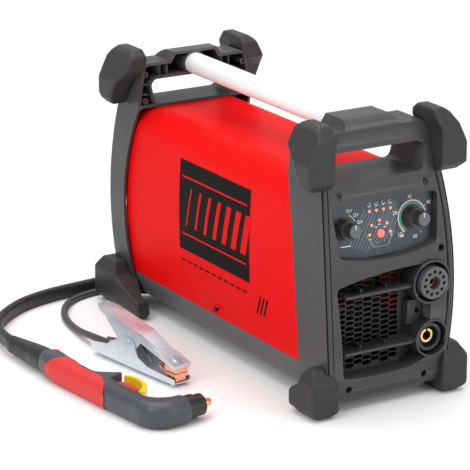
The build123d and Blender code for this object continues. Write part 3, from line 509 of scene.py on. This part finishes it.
def side_patch(y0, y1, z0, z1, lift, thick, side, lean=0.0, rows=14):
    """A thin plate that follows the cover's side; lean shifts its top along Y."""
    rings = []
    for i in range(rows + 1):
        z = z0 + (z1 - z0) * i / rows
        shift = lean * (z - z0) / (z1 - z0)
        base, top = side_x(z, 7.0 - lift), side_x(z, 7.0 - lift - thick)
        rings.append([at(side * base, y0 + shift, z), at(side * base, y1 + shift, z),
                      at(side * top, y1 + shift, z),
                      at(side * top, y0 + shift, z)])
    return tube_rings(rings)


for side, word in ((-1, "left"), (1, "right")):
    piece("side_badge_" + word, *side_patch(-86, 107, 134, 268, 0.02, 0.35, side), PRINT_BLACK_AND_SHADE, smooth=50)
    # a plain motif: a fan of long slanting rays that widen towards the front, between two thin rules
    rays = []
    for k in range(7):
        near = 88 - 25 * k
        rays.append(side_patch(near - 3 - 2.0 * k, near, 172, 230, 0.36, 0.15, side, lean=-14.0, rows=6))
    for level in (158, 243):
        rays.append(side_patch(-78, 99, level, level + 2.5, 0.36, 0.15, side, rows=2))
    piece("badge_rays_" + word, *joined(rays), PRINT_RED, smooth=50)
    dashes = [side_patch(104 - 17 * k - 11, 104 - 17 * k, 116, 119, 0.02, 0.16, side, rows=2)
              for k in range(11)]
    dashes += [side_patch(-104 - 9 * k, -100 - 9 * k, 94, 122, 0.02, 0.16, side, lean=-12.0, rows=3)
               for k in range(3)]
    piece("side_dashes_" + word, *joined(dashes), PRINT_BLACK_AND_SHADE, smooth=50)


# ---------------------------------------------------------------- torch
TORCH_ORIGIN, TORCH_HEADING = (-340.0, 58.0, 19.5), 6.3
torch_turn = Matrix.Rotation(math.radians(TORCH_HEADING - 90), 3, "Z")


def torch_at(u, v, w):
    p = torch_turn @ Vector((u, v, w))
    return at(TORCH_ORIGIN[0] + p.x, TORCH_ORIGIN[1] + p.y, TORCH_ORIGIN[2] + p.z)


# stations along the handle: distance, edge away from the trigger, edge on the trigger's side, half thickness
STATIONS = [(0, -16, 17.5, 17.0), (5, -17.2, 18.6, 18.2), (16, -19, 18.8, 18.8), (34, -20.6, 15.8, 19.0),
            (56, -21, 12.2, 19.0), (80, -21, 10.2, 18.6), (100, -21.2, 10.4, 18.4), (118, -21.6, 12.0, 18.4),
            (140, -22, 12.4, 18.6), (166, -22, 12.4, 18.8), (190, -21.4, 12.0, 19.0),
            (210, -20.6, 10.0, 19.0),
            (226, -20.2, 9.0, 19.0)]


def handle_ring(u, low, high, half, grow=0.0, count=36):
    """Rounded section of the handle, round from the top over the trigger's side."""
    mid, a = (low + high) / 2, (high - low) / 2 + grow
    ring = []
    for i in range(count):
        t = math.tau * i / count
        c, s = math.cos(t), math.sin(t)
        p = 2.0 / 2.6
        ring.append((u, mid + a * math.copysign(abs(c) ** p, c),
                     (half + grow) * math.copysign(abs(s) ** p, s)))
    return ring


def blend_stations(u):
    """The handle's edges and thickness at any distance along it, smoothly between stations."""
    for one, two in zip(STATIONS, STATIONS[1:]):
        if one[0] <= u <= two[0]:
            f = (u - one[0]) / (two[0] - one[0])
            f = f * f * (3 - 2 * f) * 0.5 + f * 0.5
            return [one[k] + (two[k] - one[k]) * f for k in (1, 2, 3)]
    return list(STATIONS[-1][1:])


def handle_rings():
    rings = []
    steps = 90
    for i in range(steps + 1):
        u = 226.0 * i / steps
        low, high, half = blend_stations(u)
        rings.append([torch_at(*p) for p in handle_ring(u, low, high, half)])
    # round the bend: sections turn about a point on the trigger's side
    low, high, half = blend_stations(226.0)
    mid, a = (low + high) / 2, (high - low) / 2
    pivot_u, pivot_v = 226.0, 32.0
    radius = pivot_v - mid
    bend_to_u = 262.0 - 226.0
    for i in range(1, 25):
        turn = math.radians(90.0 * i / 24)
        f = i / 24
        grow = a + (20.6 - a) * f
        stretch = 1.0 + (bend_to_u / radius - 1.0) * f
        section = []
        for j in range(36):
            t = math.tau * j / 36
            c, s = math.cos(t), math.sin(t)
            p = 2.0 / (2.6 + 0.8 * math.sin(math.pi * f) - 0.5 * f)
            off = grow * math.copysign(abs(c) ** p, c)
            if off < 0:
                off *= 1.0 + 0.3 * math.sin(2 * turn) ** 2
            up = (half + (19.0 - half) * f) * math.copysign(abs(s) ** p, s)
            reach = radius * (1 + (stretch - 1) * math.sin(turn)) - off
            section.append(torch_at(pivot_u + reach * math.sin(turn), pivot_v - reach * math.cos(turn), up))
        rings.append(section)
    for v in (36.0, 40.0, 42.0):
        shrink = 1.0 if v < 42 else 0.965
        ring = []
        for j in range(36):
            c, d = math.cos(math.tau * j / 36), math.sin(math.tau * j / 36)
            ring.append(torch_at(262.0 - 20.6 * shrink * math.copysign(abs(c) ** (2 / 2.1), c), v,
                                 19.0 * shrink * math.copysign(abs(d) ** (2 / 2.1), d)))
        rings.append(ring)
    return rings


body = piece("torch_body", *tube_rings(handle_rings()), TORCH, smooth=60)
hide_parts("torch_handle")
guard = [(104, 4), (114, 12), (124, 22), (133, 33.5), (137, 30), (139, 12), (139, 4)]
guard_mesh = piece("trigger_guard", *slab_mesh(guard, lambda a, b, t: torch_at(a, b, -16.5 + t), 33.0), TORCH)
soft = guard_mesh.modifiers.new("round", "BEVEL")
soft.width, soft.segments, soft.angle_limit = 0.0045, 5, math.radians(30)


def grip_patch():
    """The red rubber overlay: a shell from u 22 to 166, round the side away from the trigger."""
    outer, inner = [], []
    steps, around = 60, 44
    for i in range(steps + 1):
        f = i / steps
        u = 22 + 144 * f
        ease = min(1.0, math.sin(math.pi * min(1, f * 4.2) / 2) if f < 0.24 else 1.0)
        tail = 1.0 if f < 0.82 else 1.0 - 0.35 * ((f - 0.82) / 0.18) ** 1.5
        edge = (92 + 26 * math.sin(math.pi * min(1, f / 0.45)) * (1 if f < 0.45 else 0)) * ease * tail
        start, end = 180 - max(edge, 18), 180 + max(edge, 18)
        for shell, grow in ((outer, 1.0), (inner, -1.2)):
            low, high, half = blend_stations(u)
            mid, a = (low + high) / 2, (high - low) / 2 + grow
            row = []
            for j in range(around + 1):
                t = math.radians(start + (end - start) * j / around)
                c, s = math.cos(t), math.sin(t)
                p = 2.0 / 2.6
                slant = 9.0 * (abs(s) - 0.4) * (1 if f > 0.5 else -0.6) * (abs(f - 0.5) * 2) ** 2
                row.append(torch_at(u - slant, mid + a * math.copysign(abs(c) ** p, c),
                                    (half + grow) * math.copysign(abs(s) ** p, s)))
            shell.append(row)
    rings = [outer[i] + inner[i][::-1] for i in range(steps + 1)]
    return tube_rings(rings)


grip = piece("torch_grip_shell", *grip_patch(), GRIP, smooth=50)
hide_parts("torch_grip")
spot = [(8 + 5.5 * math.cos(math.tau * i / 24), 6 + 3.4 * math.sin(math.tau * i / 24)) for i in range(24)]
piece("torch_spot", *slab_mesh(spot, lambda a, b, t: torch_at(a + 6, b, 18.6 + t), 0.7), GRIP)


def boot_rings():
    rings = []
    steps = 120
    for i in range(steps + 1):
        f = i / steps
        u = -98 + 98 * f
        wide = 8.2 + (16.2 - 8.2) * min(1.0, f * 1.25) ** 0.8
        tall = 12.6 + (17.2 - 12.6) * min(1.0, f * 1.25) ** 0.8
        if 0.12 < f < 0.6:
            wave = math.cos((f - 0.12) / 0.48 * math.tau * 6)
            wide -= 1.0 * (0.5 + 0.5 * wave)
            tall -= 1.0 * (0.5 + 0.5 * wave)
        if f > 0.97:
            wide, tall = wide - (f - 0.97) * 30, tall - (f - 0.97) * 30
        drop = -1.5 * (1 - f) ** 2
        rings.append([torch_at(u, 0.4 * f + wide * math.cos(math.tau * j / 36),
                               drop + tall * math.sin(math.tau * j / 36)) for j in range(36)])
    return rings


boot = piece("torch_boot_ribbed", *tube_rings(boot_rings()), BOOT, smooth=40)
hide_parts("torch_boot")

# ---------------------------------------------------------------- leads
COIL_CENTRE = (190.0, 500.0)
TORCH_ROUTE = [(-350.8, 155.4, 19.5), (-347.0, 210.0, 16.5), (-306.0, 280.0, 11.5), (-226.0, 334.0, 11.0),
               (-90.0, 345.0, 11.0), (40.0, 364.0, 11.0)]
EARTH_ROUTE = [(-223.2, 59.7, 17.2), (-233.1, 119.5, 16.4), (-228.0, 190.0, 5.6), (-213.0, 262.0, 5.4),
               (-165.0, 323.0, 5.4), (-72.0, 332.0, 5.4), (10.0, 331.0, 9.0), (112.0, 344.0, 44.0)]


def lead_curve(name, points, mat, depth, profile=None):
    data = bpy.data.curves.new(name, "CURVE")
    data.dimensions = "3D"
    data.twist_mode = "Z_UP"
    data.use_fill_caps = True
    if profile:
        data.bevel_mode = "OBJECT"
        data.bevel_object = profile
    else:
        data.bevel_depth = depth * MM
        data.bevel_resolution = 6
    spline = data.splines.new("NURBS")
    spline.points.add(len(points) - 1)
    for p, q in zip(spline.points, points):
        p.co = (*at(*q), 1.0)
    spline.order_u = 3
    spline.use_endpoint_u = True
    spline.resolution_u = 8
    data.materials.append(mat)
    o = bpy.data.objects.new(name, data)
    bpy.context.scene.collection.objects.link(o)
    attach(o, "unit")
    return o


def winding(turns, radius_of, height_of, start, per_turn=16):
    """Points of a wound coil about the coil's centre; the radius and height depend on the turn reached."""
    points = []
    for i in range(int(turns * per_turn) + 1):
        t = i / per_turn
        a = math.radians(start) + math.tau * t
        r, z = radius_of(t), height_of(t)
        points.append((COIL_CENTRE[0] + r * math.cos(a), COIL_CENTRE[1] + r * math.sin(a), z))
    return points


def smooth_step(t, width=0.18):
    """Whole turns, with a quick ramp at the end of each one."""
    whole, part = math.floor(t), t - math.floor(t)
    return whole + (0.0 if part < 1 - width else (part - 1 + width) / width)


TORCH_RINGS = (143.5, 130.8, 118.1, 105.4)


def torch_radius(t):
    """Four rings side by side, and then the same again on top of them."""
    k = smooth_step(t)
    here, there = TORCH_RINGS[int(k) % 4], TORCH_RINGS[(int(k) + 1) % 4]
    return here + (there - here) * (k - int(k))


def torch_height(t):
    return 11.0 + 22.0 * min(1.0, max(0.0, (smooth_step(t) - 3.0) * 3.0))


def earth_radius(t):
    """Outer ring, inner ring, then the inner and the outer one on top."""
    k = smooth_step(t)
    return 131.0 - 11.0 * min(1.0, k) + 11.0 * min(1.0, max(0.0, k - 2.0))


def earth_height(t):
    return 49.6 + 10.4 * min(1.0, max(0.0, smooth_step(t) - 1.0))


def rounded_slot(width, height):
    """Closed outline of the flat lead, as a curve that sweeps along the lead's line."""
    data = bpy.data.curves.new("lead_profile", "CURVE")
    data.dimensions = "2D"
    spline = data.splines.new("POLY")
    count = 24
    spline.points.add(count - 1)
    r = width / 2
    for i in range(count):
        t = math.tau * i / count
        x, y = r * math.cos(t), r * math.sin(t) + math.copysign(height / 2 - r, math.sin(t))
        spline.points[i].co = (x * MM, y * MM, 0, 1)
    spline.use_cyclic_u = True
    o = bpy.data.objects.new("lead_profile", data)
    bpy.context.scene.collection.objects.link(o)
    o.hide_render = True
    o.hide_viewport = True
    return o


torch_points = TORCH_ROUTE + winding(6.9, torch_radius, torch_height, -78)
torch_lead = lead_curve("torch_cable", torch_points, LEAD, 0, rounded_slot(12.6, 21.6))
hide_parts("torch_lead", "torch_lead_coil")
earth_points = EARTH_ROUTE + winding(4.2, earth_radius, earth_height, -88)
earth_lead = lead_curve("earth_cable", earth_points, EARTH, 5.0)
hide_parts("earth_lead", "earth_lead_coil")
for name in ("torch_plug", "earth_plug"):
    FINISH[name] = BLACK
    finish_node(name)


# distance from the coils' axis and height of each corner that the strap is pulled round
TIE_SECTION = ((98.6, 1.2), (150.4, 1.2), (150.6, 38), (138, 66.2), (113, 66.2), (98.4, 38))


def coil_tie(name, angle, width=14.0, thick=1.2, bend=5.0):
    """A strap pulled tight round the section of both coils at one place."""
    corners = [Vector(c) for c in TIE_SECTION]
    path = []
    for k, here in enumerate(corners):
        start = here + (corners[k - 1] - here).normalized() * bend
        end = here + (corners[(k + 1) % len(corners)] - here).normalized() * bend
        for i in range(5):
            t = i / 4
            path.append(start * (1 - t) ** 2 + here * 2 * t * (1 - t) + end * t * t)
    turn = math.radians(angle)
    rings = []
    for k, p in enumerate(path):
        ahead = (path[(k + 1) % len(path)] - path[k - 1]).normalized()
        ring = []
        for side, out in ((-1, 1), (1, 1), (1, -1), (-1, -1)):
            r = p.x + ahead.y * out * thick / 2
            z = p.y - ahead.x * out * thick / 2
            across = side * width / 2
            ring.append(at(COIL_CENTRE[0] + r * math.cos(turn) - across * math.sin(turn),
                           COIL_CENTRE[1] + r * math.sin(turn) + across * math.cos(turn), z))
        rings.append(ring)
    return piece(name, *tube_rings(rings, closed_ring=True, caps=False), WEBBING)


coil_tie("coil_tie_1", 40)
coil_tie("coil_tie_2", -25)

# ---------------------------------------------------------------- clamp spring and braid
CLAMP_ORIGIN, CLAMP_HEADING = (-203.5, -84.0), 9.4
clamp_turn = Matrix.Rotation(math.radians(CLAMP_HEADING), 3, "Z")


def clamp_at(x, y, z):
    p = clamp_turn @ Vector((x, y, z))
    return at(CLAMP_ORIGIN[0] + p.x, CLAMP_ORIGIN[1] + p.y, p.z)


def wire(points, radius, count=8):
    """Rings of a round wire through points."""
    rings = []
    up = Vector((0.2, 0.1, 1)).normalized()
    for i, p in enumerate(points):
        a, b = points[max(0, i - 1)], points[min(len(points) - 1, i + 1)]
        ahead = (b - a).normalized()
        side = ahead.cross(up)
        side = side.normalized() if side.length > 1e-6 else Vector((1, 0, 0))
        over = side.cross(ahead).normalized()
        rings.append([p + (side * math.cos(math.tau * j / count)
                           + over * math.sin(math.tau * j / count)) * radius
                      for j in range(count)])
        up = over
    return tube_rings(rings)


coil_points = [clamp_at(-7.5 + 15.0 * i / 140, 104 + 7.2 * math.cos(math.tau * 6 * i / 140),
                        40 + 7.2 * math.sin(math.tau * 6 * i / 140)) for i in range(141)]
legs = [[clamp_at(7.5, 111, 40), clamp_at(7.5, 96, 30), clamp_at(7.5, 78, 12)],
        [clamp_at(-7.5, 111, 40), clamp_at(-7.5, 99, 47), clamp_at(-7.5, 77, 50)]]
SPRING_WIRE_R = 0.0011
spring_parts = [wire(p, SPRING_WIRE_R) for p in [coil_points] + legs]
spring = piece("clamp_torsion_spring", *joined(spring_parts), STEEL)
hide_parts("clamp_spring")
strands = []
for k in range(11):
    x = -7.5 + 1.5 * k
    loop = []
    for i in range(25):
        t = math.pi * i / 24
        y = 26 + (17 + random.uniform(-2.5, 2.0)) * math.sin(t) + random.uniform(-0.3, 0.3)
        z = 23.4 - 6.2 * math.cos(t) + random.uniform(-0.3, 0.3)
        loop.append(clamp_at(x + 1.2 * math.sin(3 * t + k), y, z))
    strands.append(wire(loop, 0.00075, 6))
braid = piece("jaw_braid_strands", *joined(strands), COPPER, smooth=60)
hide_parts("jaw_braid")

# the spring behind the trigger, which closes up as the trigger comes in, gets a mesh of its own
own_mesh(nodes["trigger_spring"])


# ---------------------------------------------------------------- studio
def area_light(name, place, target, size, energy, colour=(1, 1, 1)):
    data = bpy.data.lights.new(name, "AREA")
    data.shape = "RECTANGLE"
    data.size, data.size_y = size
    data.energy = energy
    data.color = colour
    o = bpy.data.objects.new(name, data)
    bpy.context.scene.collection.objects.link(o)
    o.location = place
    o.rotation_euler = (Vector(target) - Vector(place)).to_track_quat("-Z", "Y").to_euler()
    return o


floor_mesh = bpy.data.meshes.new("floor")
floor_mesh.from_pydata([(-12, -12, 0), (12, -12, 0), (12, 12, 0), (-12, 12, 0)], [], [(0, 1, 2, 3)])
FLOOR_WHITE = material("floor_white", (0.9, 0.9, 0.9), 0.6, vary=0.005, rough_vary=0.02, specular=0.2)
floor_mesh.materials.append(FLOOR_WHITE)
floor = bpy.data.objects.new("floor", floor_mesh)
bpy.context.scene.collection.objects.link(floor)

WORLD_STRENGTH, SUN_STRENGTH, SUN_ANGLE = 0.6, 1.55, math.radians(70)
world = bpy.data.worlds.new("studio")
world.use_nodes = True
world.node_tree.nodes["Background"].inputs["Color"].default_value = (1, 1, 1, 1)
world.node_tree.nodes["Background"].inputs["Strength"].default_value = WORLD_STRENGTH
bpy.context.scene.world = world
middle = at(0, 0, 150)
area_light("key", at(-1900, -700, 1300), middle, (1.3, 1.3), 17)
area_light("top", at(100, 700, 1900), middle, (1.2, 1.2), 7)
overhead = bpy.data.lights.new("overhead", "SUN")
overhead.energy = SUN_STRENGTH
overhead.angle = SUN_ANGLE
sun = bpy.data.objects.new("overhead", overhead)
bpy.context.scene.collection.objects.link(sun)
area_light("front", at(700, -2000, 800), middle, (1.0, 1.4), 10)
bpy.context.scene.view_settings.view_transform = "Standard"

LENS, LOOK_AT = 195.9, (-68.7, 0, 176.3)
camera_data = bpy.data.cameras.new("camera")
camera_data.sensor_width = 36.0
camera_data.lens = LENS
camera_data.clip_start, camera_data.clip_end = 0.1, 60.0
camera = bpy.data.objects.new("camera", camera_data)
bpy.context.scene.collection.objects.link(camera)
AZIMUTH, ELEVATION, DISTANCE = math.radians(-31.243), math.radians(17.507), 3.62645
back = Vector((math.sin(AZIMUTH) * math.cos(ELEVATION), -math.cos(AZIMUTH) * math.cos(ELEVATION),
               math.sin(ELEVATION)))
camera.location = at(*LOOK_AT) + back * DISTANCE
camera.rotation_mode = "QUATERNION"
camera.rotation_quaternion = (-back).to_track_quat("-Z", "Y")
bpy.context.scene.camera = camera
